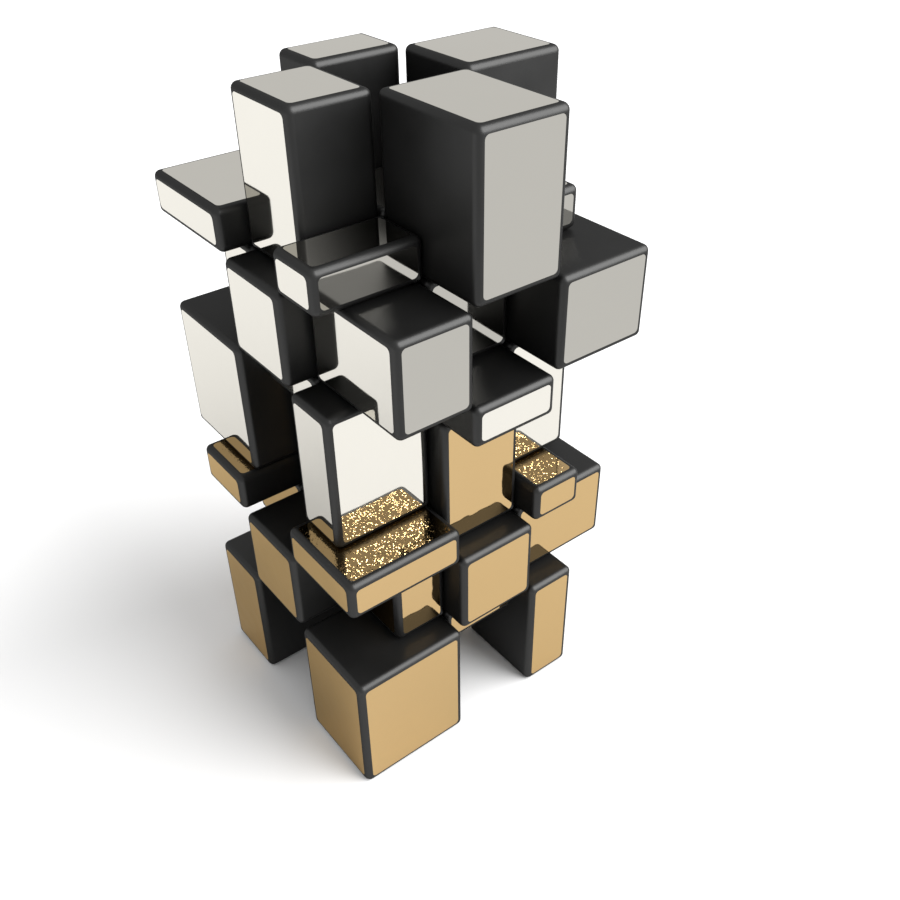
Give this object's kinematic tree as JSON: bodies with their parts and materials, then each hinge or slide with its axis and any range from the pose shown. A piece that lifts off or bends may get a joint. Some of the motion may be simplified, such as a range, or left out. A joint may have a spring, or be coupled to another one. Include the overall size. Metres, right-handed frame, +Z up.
{
  "type": "mirror block cube puzzle pair",
  "caption": "Two foil-faced mirror block twisty cubes with blocks of unequal size, one standing on the other and interlocked, each with turning layers on a sprung core.",
  "frame": {"origin": "on the floor plane, on the turning axis that both cubes share", "axes": "+Z up along the turning axis; -Y is the front, -X the left side"},
  "size_m": [0.0706, 0.0706, 0.1352],
  "materials": {
    "block_plastic": "satin moulded black ABS",
    "gold_foil": "mirror-bright gold foil",
    "silver_foil": "mirror-bright silver foil",
    "core_plastic": "plain moulded nylon",
    "steel": "bright zinc-plated"
  },
  "bodies": {
    "gold_bottom_layer": {"gold_bottom_back_edge": "block_plastic", "gold_bottom_back_left_corner": "block_plastic", "gold_bottom_back_right_corner": "block_plastic", "gold_bottom_centre": "block_plastic", "gold_bottom_foils": "gold_foil", "gold_bottom_front_edge": "block_plastic", "gold_bottom_front_left_corner": "block_plastic", "gold_bottom_front_right_corner": "block_plastic", "gold_bottom_left_edge": "block_plastic", "gold_bottom_right_edge": "block_plastic"},
    "gold_middle_layer": {"gold_back_left_edge": "block_plastic", "gold_back_right_edge": "block_plastic", "gold_core": "core_plastic", "gold_front_left_edge": "block_plastic", "gold_front_right_edge": "block_plastic", "gold_middle_foils": "gold_foil", "gold_screws": "steel", "gold_side_centres": "block_plastic", "gold_springs": "steel"},
    "gold_top_layer": {"gold_top_back_edge": "block_plastic", "gold_top_back_left_corner": "block_plastic", "gold_top_back_right_corner": "block_plastic", "gold_top_centre": "block_plastic", "gold_top_foils": "gold_foil", "gold_top_front_edge": "block_plastic", "gold_top_front_left_corner": "block_plastic", "gold_top_front_right_corner": "block_plastic", "gold_top_left_edge": "block_plastic", "gold_top_right_edge": "block_plastic"},
    "silver_bottom_layer": {"silver_bottom_back_edge": "block_plastic", "silver_bottom_back_left_corner": "block_plastic", "silver_bottom_back_right_corner": "block_plastic", "silver_bottom_centre": "block_plastic", "silver_bottom_foils": "silver_foil", "silver_bottom_front_edge": "block_plastic", "silver_bottom_front_left_corner": "block_plastic", "silver_bottom_front_right_corner": "block_plastic", "silver_bottom_left_edge": "block_plastic", "silver_bottom_right_edge": "block_plastic"},
    "silver_middle_layer": {"silver_back_left_edge": "block_plastic", "silver_back_right_edge": "block_plastic", "silver_core": "core_plastic", "silver_front_left_edge": "block_plastic", "silver_front_right_edge": "block_plastic", "silver_middle_foils": "silver_foil", "silver_screws": "steel", "silver_side_centres": "block_plastic", "silver_springs": "steel"},
    "silver_top_layer": {"silver_top_back_edge": "block_plastic", "silver_top_back_left_corner": "block_plastic", "silver_top_back_right_corner": "block_plastic", "silver_top_centre": "block_plastic", "silver_top_foils": "silver_foil", "silver_top_front_edge": "block_plastic", "silver_top_front_left_corner": "block_plastic", "silver_top_front_right_corner": "block_plastic", "silver_top_left_edge": "block_plastic", "silver_top_right_edge": "block_plastic"}
  },
  "joints": [
    {"name": "gold_bottom_turn", "type": "hinge", "parent": "gold_bottom_layer", "child": "gold_middle_layer", "pos_m": [0, 0, 0.02945], "axis": [0, 0, 1], "continuous": true},
    {"name": "gold_top_turn", "type": "hinge", "parent": "gold_middle_layer", "child": "gold_top_layer", "pos_m": [0, 0, 0.04845], "axis": [0, 0, 1], "continuous": true},
    {"name": "silver_cube_lift", "type": "slide", "parent": "gold_top_layer", "child": "silver_bottom_layer", "axis": [0, 0, 1], "range_m": [0, 0.06]},
    {"name": "silver_bottom_turn", "type": "hinge", "parent": "silver_bottom_layer", "child": "silver_middle_layer", "pos_m": [0, 0, 0.08645], "axis": [0, 0, 1], "continuous": true},
    {"name": "silver_top_turn", "type": "hinge", "parent": "silver_middle_layer", "child": "silver_top_layer", "pos_m": [0, 0, 0.10545], "axis": [0, 0, 1], "continuous": true}
  ]
}
